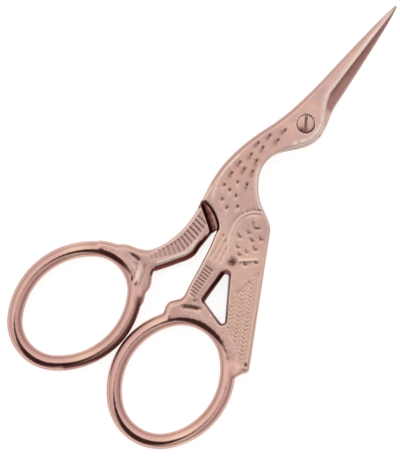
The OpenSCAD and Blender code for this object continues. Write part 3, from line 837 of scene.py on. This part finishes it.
def wear_and_patina(bulge, normals, on_ring=0):
    """Edges are rubbed bright, hollows stay dark with patina, and the sides get painted shade, most
    on a ring.
    """
    side_shade = smooth((0.75 - np.abs(normals[:, 2])) / 0.35)
    darkening = 0.7 * smooth((-bulge - 0.35) / 1.2) * (1 - 0.8 * on_ring)
    return 0.55 * smooth((bulge - 0.3) / 0.5), darkening + (0.25 + 0.3 * on_ring) * side_shade


def face_share(z):
    """1 on the two faces, and 0 in the walls between them."""
    return smooth((np.abs(z - MID_Z) - 0.9) / 0.6)


def wall_share(z):
    """1 in the walls, and 0 at the faces."""
    return smooth((MID_Z - np.abs(z - MID_Z) - 0.1) / 0.25)


def make_stork():
    """Front blade, head, body, wing, tail, leg and right ring, in one piece."""
    sheet = Sheet((-9.8, -81.6, -0.4), (26.2, 34.4, 4.1), HALF_STEP)
    relief = stork_relief(sheet)
    field = stork_field(sheet) + on_faces(sheet, relief.deep)
    # Painted shade on the walls of the window and beside the lap edge, where little light reaches
    wall_shade = np.maximum(near_line(sheet, np.vstack([WINDOW, WINDOW[:2]]), 1.9),
                       0.8 * near_line(sheet, LAP_EDGE, 1.4))
    ring = near_ring(sheet, STORK_RING)
    painted_glint = glints(sheet, STORK_GLINTS)

    def paint(points, places, normals, bulge):
        x, y, z = places.T
        on_ring = look_up(ring, points)
        wear, darkening = wear_and_patina(bulge, normals, on_ring)
        ground = smooth((STORK_LAP_Z + GROUND_DEPTH - z) / 0.05) * smooth((y - GROUND_FROM) / 0.5)
        faces = np.maximum(face_share(z), (y > 8) * smooth((z - STORK_LAP_Z - 0.1) / 0.2))
        patina_and_painted_shade = look_up(relief.dark, points) * faces + darkening
        # The seat round the screw gets painted light on its upper side and painted shade on its
        # lower side
        seat = (np.hypot(x, y) < HEAD_R + HEAD_CLEAR + 0.12) & (z > SEAT_Z - 0.1)
        painted_light, shaded = lit_and_shaded(x, y)
        wear = wear + look_up(relief.wear, points) * faces + seat * painted_light
        # Golden tone of the plate; the rings' painted warm reflections are added to it in the
        # returned values
        gilt_and_glint = look_up(relief.gilt_and_glint, points) * face_share(z) * (1 - 0.75 * on_ring)
        patina_and_painted_shade = patina_and_painted_shade * (1 - seat * painted_light) + 0.15 * seat * shaded
        return {"wear": wear, "patina_and_painted_shade": patina_and_painted_shade, "ground": ground, "polish": on_ring,
                "recess_shade": look_up(wall_shade, points) * wall_share(z),
                "gilt_and_glint": gilt_and_glint + look_up(painted_glint, points)}

    lean = ring_lean(sheet, STORK_RING, STORK_COLLAR_TIP)
    return mesh_field("stork_body", sheet, field, paint, lean)


def make_plain():
    """Back blade, back of the head and neck, ribbed arm and left ring, in one piece."""
    sheet = Sheet((-30, -81.8, -0.4), (5.2, 34.4, 4.1), HALF_STEP)
    relief = plain_relief(sheet)
    back = Relief(sheet)
    back.feathers(BACK_FEATHERS)
    field = plain_field(sheet) + on_faces(sheet, relief.deep)
    field = field + np.where(sheet.z < MID_Z, on_faces(sheet, back.deep), 0)
    # Painted shade on the fork's walls beside the arm and its step
    wall_shade = np.maximum(near_line(sheet, ARM_RIGHT, 1.7), near_line(sheet, ARM_STEP, 1.2))
    ring = near_ring(sheet, PLAIN_RING)
    painted_glint = glints(sheet, PLAIN_GLINTS)
    lip = near_line(sheet, PLAIN_THROAT[:7], 1.0)
    # Painted shadow of the front blade on the back blade's inner face, beside its cutting edge
    shadow = near_line(sheet, spots_on(cutting_rim(-1), np.s_[3:BLADE_STEPS:4]), 1.1)
    contact = [beside(PLAIN_RING, angle, out - WIRE_R) for angle, out in RING_CONTACT_SHADE]
    contact_shade = np.exp(-(path(sheet, contact)[0] / 0.6) ** 2)

    def paint(points, places, normals, bulge):
        y, z = places.T[1:]
        on_ring = look_up(ring, points)
        wear, darkening = wear_and_patina(bulge, normals, on_ring)
        ground = smooth((z - PLAIN_LAP_Z + GROUND_DEPTH) / 0.05) * smooth((y - GROUND_FROM) / 0.4)
        faces = face_share(z)
        # Painted shade on the plain ring's upper side where it lies against the other ring
        streak = look_up(contact_shade, points) * (z > MID_Z)
        wear = (wear + look_up(relief.wear, points) * faces
                + 0.6 * look_up(lip, points) * (np.abs(z - PLAIN_LAP_Z) < 0.3))
        patina_and_painted_shade = (look_up(relief.dark, points) * faces + darkening
                  + look_up(back.dark, points) * faces * (z < MID_Z)
                  + 0.4 * streak + 0.3 * look_up(shadow, points) * ground)
        # On this half the golden channel holds only the ring's painted warm reflections
        return {"wear": wear, "patina_and_painted_shade": patina_and_painted_shade, "ground": ground, "polish": on_ring,
                "recess_shade": np.maximum(look_up(wall_shade, points) * wall_share(z), streak),
                "gilt_and_glint": look_up(painted_glint, points)}

    lean = ring_lean(sheet, PLAIN_RING, PLAIN_COLLAR_TIP)
    return mesh_field("plain_body", sheet, field, paint, lean)


def lit_and_shaded(x, y):
    """Shares of painted light and of painted shade round the screw, which is shaded on its lower
    side only.
    """
    down = (x * math.cos(SHADE_WAY) + y * math.sin(SHADE_WAY)) / np.maximum(np.hypot(x, y), 0.01)
    return smooth(0.45 - 0.9 * down), smooth(1.2 * down - 0.1)


def near_ring(sheet, ring):
    """1 on a ring's wire, seen from above."""
    return smooth(-wire(sheet, ring, RING_Z)[0] / 0.3)


def glints(sheet, spots):
    """Painted warm reflections on a ring, each given as x, y and radius."""
    return 0.8 * sum(pit(sheet, x, y, r) for x, y, r in spots)


def ring_lean(sheet, ring, tip):
    """Towards its lower end a ring's wire is a little fuller on the outside. The tip of the
    collar, at the given point, runs out softly onto the wire."""
    full = RING_LEAN * smooth(((ring["y"] - sheet.y) / ring["b"] - 0.55) / 0.35)
    return near_ring(sheet, ring) * full - TIP_LEAN * pit(sheet, *tip, TIP_R)


def from_slot(x, y):
    """Distance from the middle of the screw's slot, seen from above."""
    return np.abs(x * math.cos(SLOT_TURN) + y * math.sin(SLOT_TURN))


def make_screw():
    """Shouldered screw with a domed, slotted head, and a thread in the plain half."""
    sheet = Sheet((-2.3, -2.3, -0.2), (2.3, 2.3, 4.1), SCREW_STEP, squeezed=False)
    x, y, z = sheet.x[None], sheet.y[None], sheet.z
    r = np.hypot(x, y)
    top = HEAD_Z + HEAD_T + HEAD_DOME
    dome_r = (HEAD_R ** 2 + HEAD_DOME ** 2) / (2 * HEAD_DOME)
    lid = np.sqrt(r * r + (z - top + dome_r) ** 2) - dome_r
    rim = np.maximum(r - HEAD_R, HEAD_Z - z)
    cone = (lid + RIM_SLOPE * (r - HEAD_R)) * RIM_SCALE + RIM_INSET
    head = np.maximum(np.maximum(rim, lid), cone)
    mouth = SLOT_W / 2 + MOUTH_SLOPE * np.maximum(z - top + MOUTH_DEPTH, 0)
    slot = np.maximum(from_slot(x, y) - mouth, top - SLOT_DEPTH - z)
    head = np.maximum(head, -slot)
    shank = np.maximum(r - SHANK_R, np.maximum(PLAIN_LAP_Z - z, z - HEAD_Z - SCREW_JOIN))
    turn = np.arctan2(y, x) / (2 * math.pi)
    ridge = 0.5 - 0.5 * np.cos(2 * math.pi * (z / THREAD_PITCH - turn))
    cut = THREAD_DEPTH * ridge * smooth(z / 0.3)
    thread = np.maximum(r - THREAD_R + cut, np.maximum(-z, z - PLAIN_LAP_Z - SCREW_JOIN))
    field = np.minimum(np.minimum(head, shank), thread)

    def paint(points, places, normals, bulge):
        wear, darkening = wear_and_patina(bulge, normals)
        px, py, pz = places.T
        sunk = smooth((top - 0.11 - pz) / 0.15)
        in_slot = from_slot(px, py) < SLOT_W / 2 + 0.09
        # The head's rim gets painted light on its upper side and painted shade on its lower side
        rim = smooth((np.hypot(px, py) - HEAD_R + 0.35) / 0.2) * (pz > SEAT_Z)
        painted_light, shaded = lit_and_shaded(px, py)
        return {"wear": 0.5 * wear + rim * painted_light,
                "patina_and_painted_shade": darkening * (1 - rim) + 0.25 * rim * shaded + 0.5 * sunk * in_slot,
                "ground": 0 * pz, "recess_shade": 0 * pz, "polish": 0.4 + 0 * pz, "gilt_and_glint": 0 * pz}

    return mesh_field("screw_body", sheet, field, paint)


# Plate in its two tones and on the rings' wire, its golden patches and painted glints, and the
# wear, painted light, painted shade and patina that lie over it
ROSE = (0.83, 0.535, 0.44, 1)
ROSE_COOL = (0.76, 0.50, 0.465, 1)
ROSE_WIRE = (0.77, 0.465, 0.41, 1)
GILT_AND_GLINT = (0.98, 0.665, 0.53, 1)
RUBBED_AND_PAINTED_LIGHT = (1.0, 0.82, 0.74, 1)
GROUND_STEEL_AND_SHADE = (0.46, 0.25, 0.225, 1)
RECESS_SHADE = (0.21, 0.07, 0.06, 1)
PATINA_AND_SHADE = (0.13, 0.04, 0.032, 1)
# Roughness of the halves and of the screw
HALF_ROUGHNESS = 0.26
SCREW_ROUGHNESS = 0.24
# Noise scales, per metre: patches of tone, mottled gloss, soft waves and fine grain
TONE_SCALE = 110.0
MOTTLE_SCALE = 300.0
WAVE_SCALE = 420.0
GRAIN_SCALE = 2600.0


def fill(tree, made, values):
    """Gives a node's inputs and settings their values. A socket is linked to its input."""
    for key, value in values.items():
        if isinstance(key, str) and key not in made.inputs:
            setattr(made, key, value)
        elif isinstance(value, bpy.types.NodeSocket):
            tree.links.new(value, made.inputs[key])
        else:
            made.inputs[key].default_value = value


def node(tree, kind, **values):
    made = tree.nodes.new(kind)
    fill(tree, made, values)
    return made


def noise(tree, place, scale, detail=3.0):
    return node(tree, "ShaderNodeTexNoise", Vector=place, Scale=scale, Detail=detail,
                Roughness=0.55).outputs["Fac"]


def trait(tree, name):
    return node(tree, "ShaderNodeAttribute", attribute_name=name).outputs["Fac"]


def mixed(tree, share, a, b):
    """Colour b over colour a; either is a colour or a socket."""
    made = node(tree, "ShaderNodeMix", data_type="RGBA")
    fill(tree, made, {0: share, 6: a, 7: b})
    return made.outputs[2]


def ranged(tree, value, low, high, start=0.0, end=1.0, kind="LINEAR"):
    """A value between low and high, as one between start and end."""
    made = node(tree, "ShaderNodeMapRange", interpolation_type=kind, Value=value)
    fill(tree, made, {"From Min": low, "From Max": high, "To Min": start, "To Max": end})
    return made.outputs["Result"]


def maths(tree, operation, a, b):
    """The result of a sum on a socket and a socket or a number."""
    made = node(tree, "ShaderNodeMath", operation=operation)
    fill(tree, made, {0: a, 1: b})
    return made.outputs[0]


def vectors(tree, operation, *values):
    """The outputs of a sum on vectors."""
    made = node(tree, "ShaderNodeVectorMath", operation=operation)
    fill(tree, made, dict(enumerate(values)))
    return made.outputs


def new_material(name):
    material = bpy.data.materials.new(name)
    material.use_nodes = True
    return material, material.node_tree, material.node_tree.nodes["Principled BSDF"]


def plated(name, roughness):
    """Rose-gold plate, softly mottled, rubbed bright on its edges and dark in its hollows, plus
    painted light and shade.
    """
    material, tree, shader = new_material(name)
    place = node(tree, "ShaderNodeTexCoord").outputs["Object"]
    grain = noise(tree, place, GRAIN_SCALE)
    wear = maths(tree, "MULTIPLY", trait(tree, "wear"), ranged(tree, grain, 0.3, 0.6, 0.78, 1.0))
    patina_and_painted_shade = maths(tree, "MULTIPLY", trait(tree, "patina_and_painted_shade"),
                   ranged(tree, grain, 0.3, 0.7, 1.0, 0.75))
    polish = trait(tree, "polish")
    tone = ranged(tree, noise(tree, place, TONE_SCALE), 0.35, 0.65)
    colour = mixed(tree, tone, ROSE, ROSE_COOL)
    for share, over in ((polish, ROSE_WIRE), (trait(tree, "gilt_and_glint"), GILT_AND_GLINT),
                        (trait(tree, "ground"), GROUND_STEEL_AND_SHADE), (wear, RUBBED_AND_PAINTED_LIGHT),
                        (trait(tree, "recess_shade"), RECESS_SHADE), (patina_and_painted_shade, PATINA_AND_SHADE)):
        colour = mixed(tree, share, colour, over)
    rough = ranged(tree, noise(tree, place, MOTTLE_SCALE, 4.0), 0.3, 0.7,
                   roughness - 0.04, roughness + 0.06)
    rough = maths(tree, "ADD", rough, maths(tree, "MULTIPLY", patina_and_painted_shade, 0.25))
    rough = maths(tree, "SUBTRACT", rough, maths(tree, "MULTIPLY", polish, 0.13))
    wave = node(tree, "ShaderNodeBump", Strength=0.5, Distance=0.00005,
                Height=noise(tree, place, WAVE_SCALE, 2.0))
    fine = node(tree, "ShaderNodeBump", Strength=0.15, Distance=0.00002,
                Height=grain, Normal=wave.outputs["Normal"])
    fill(tree, shader, {"Metallic": 1.0, "Base Color": colour, "Roughness": rough,
                        "Normal": fine.outputs["Normal"]})
    return material


plate_finish = plated("rose_gold", HALF_ROUGHNESS)
screw_finish = plated("screw_finish", SCREW_ROUGHNESS)

stork = make_stork()
plain = make_plain()
screw = make_screw()
for piece, node_name, body, finish, slot in (
        (stork, "stork_half", "stork", plate_finish, "halves"),
        (plain, "plain_half", "arm", plate_finish, "halves"),
        (screw, "pivot_screw", "arm", screw_finish, "screw")):
    piece.data.materials.append(finish)
    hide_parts(node_name)
    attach(piece, body)


# Floor: half its width and its height in metres, its tone, and the white added to it
FLOOR_HALF = 1.5
FLOOR_Z = -0.0001
FLOOR_GREY = (0.42, 0.42, 0.42, 1)
FLOOR_WHITE = 0.82
WHITE = (1, 1, 1, 1)


def make_floor():
    """Flat ground. Only the camera and reflections see the white added to it."""
    mesh = bpy.data.meshes.new("floor")
    corners = [(-1, -1), (1, -1), (1, 1), (-1, 1)]
    mesh.from_pydata([(x * FLOOR_HALF, y * FLOOR_HALF, FLOOR_Z) for x, y in corners], [],
                     [(0, 1, 2, 3)])
    floor = bpy.data.objects.new("floor", mesh)
    bpy.context.scene.collection.objects.link(floor)
    material, tree, shader = new_material("floor_white")
    rays = node(tree, "ShaderNodeLightPath").outputs
    seen = maths(tree, "MAXIMUM", rays["Is Camera Ray"], rays["Is Glossy Ray"])
    seen = maths(tree, "MAXIMUM", seen, rays["Is Transmission Ray"])
    fill(tree, shader, {"Base Color": FLOOR_GREY, "Roughness": 1.0, "Specular IOR Level": 0.0,
                        "Emission Strength": maths(tree, "MULTIPLY", seen, FLOOR_WHITE),
                        "Emission Color": WHITE})
    mesh.materials.append(material)


make_floor()

# Soft studio all round, dimmer on the right and low down, with a dark card above the handles
STUDIO_BRIGHT = (1.03, 1.0, 0.99, 1)
STUDIO_DIM = (0.62, 0.58, 0.58, 1)
DIM_FROM = -0.6
LOW_SHARE = 0.45
CARD = (0.05, 0.025, 0.022, 1)
CARD_TILT = math.radians(40)
CARD_X = 0.11
CARD_WIDE = 0.38
CARD_LONG = 0.64
CARD_EDGE = (0.84, 1.06)


def make_world():
    """Background that depends on the direction. The card is an oval patch of it."""
    world = bpy.data.worlds.new("studio")
    world.use_nodes = True
    bpy.context.scene.world = world
    tree = world.node_tree
    way = node(tree, "ShaderNodeTexCoord").outputs["Generated"]
    part = node(tree, "ShaderNodeSeparateXYZ", Vector=way).outputs
    side = ranged(tree, part["X"], DIM_FROM, 1.0, kind="SMOOTHSTEP")
    low = ranged(tree, part["Z"], 0.0, 1.0, LOW_SHARE, 1.0)
    room = vectors(tree, "MULTIPLY", mixed(tree, side, STUDIO_BRIGHT, STUDIO_DIM), low)["Vector"]
    card_up = (0, -math.cos(CARD_TILT), -math.sin(CARD_TILT))
    across = maths(tree, "DIVIDE", maths(tree, "SUBTRACT", part["X"], CARD_X), CARD_WIDE)
    along = maths(tree, "DIVIDE", vectors(tree, "DOT_PRODUCT", way, card_up)["Value"], CARD_LONG)
    off = node(tree, "ShaderNodeCombineXYZ", X=across, Y=along).outputs["Vector"]
    far = vectors(tree, "LENGTH", off)["Value"]
    off_card = ranged(tree, far, *CARD_EDGE, kind="SMOOTHSTEP")
    fill(tree, tree.nodes["Background"],
         {"Strength": 1.0, "Color": mixed(tree, off_card, CARD, room)})


make_world()

# The camera looks straight down, turned as the photograph is. Distances are in millimetres.
TURN = math.radians(38)
VIEW_CENTRE = (-4.06, -33.63)
VIEW_HEIGHT = 104.14
CAMERA_FAR = 600.0
SENSOR = 36.0


def make_camera():
    data = bpy.data.cameras.new("camera")
    data.sensor_width = SENSOR
    data.lens = SENSOR * CAMERA_FAR / VIEW_HEIGHT
    data.clip_start, data.clip_end = 0.01, 10
    camera = bpy.data.objects.new("camera", data)
    up = Vector((-math.sin(TURN), math.cos(TURN), 0))
    back = Vector((0, 0, 1))
    right = up.cross(back)
    place = Matrix.Translation(Vector((*VIEW_CENTRE, MID_Z + CAMERA_FAR)) * MM)
    camera.matrix_world = place @ Matrix((right, up, back)).transposed().to_4x4()
    bpy.context.scene.collection.objects.link(camera)
    bpy.context.scene.camera = camera


make_camera()

bpy.context.scene.view_settings.view_transform = "Standard"
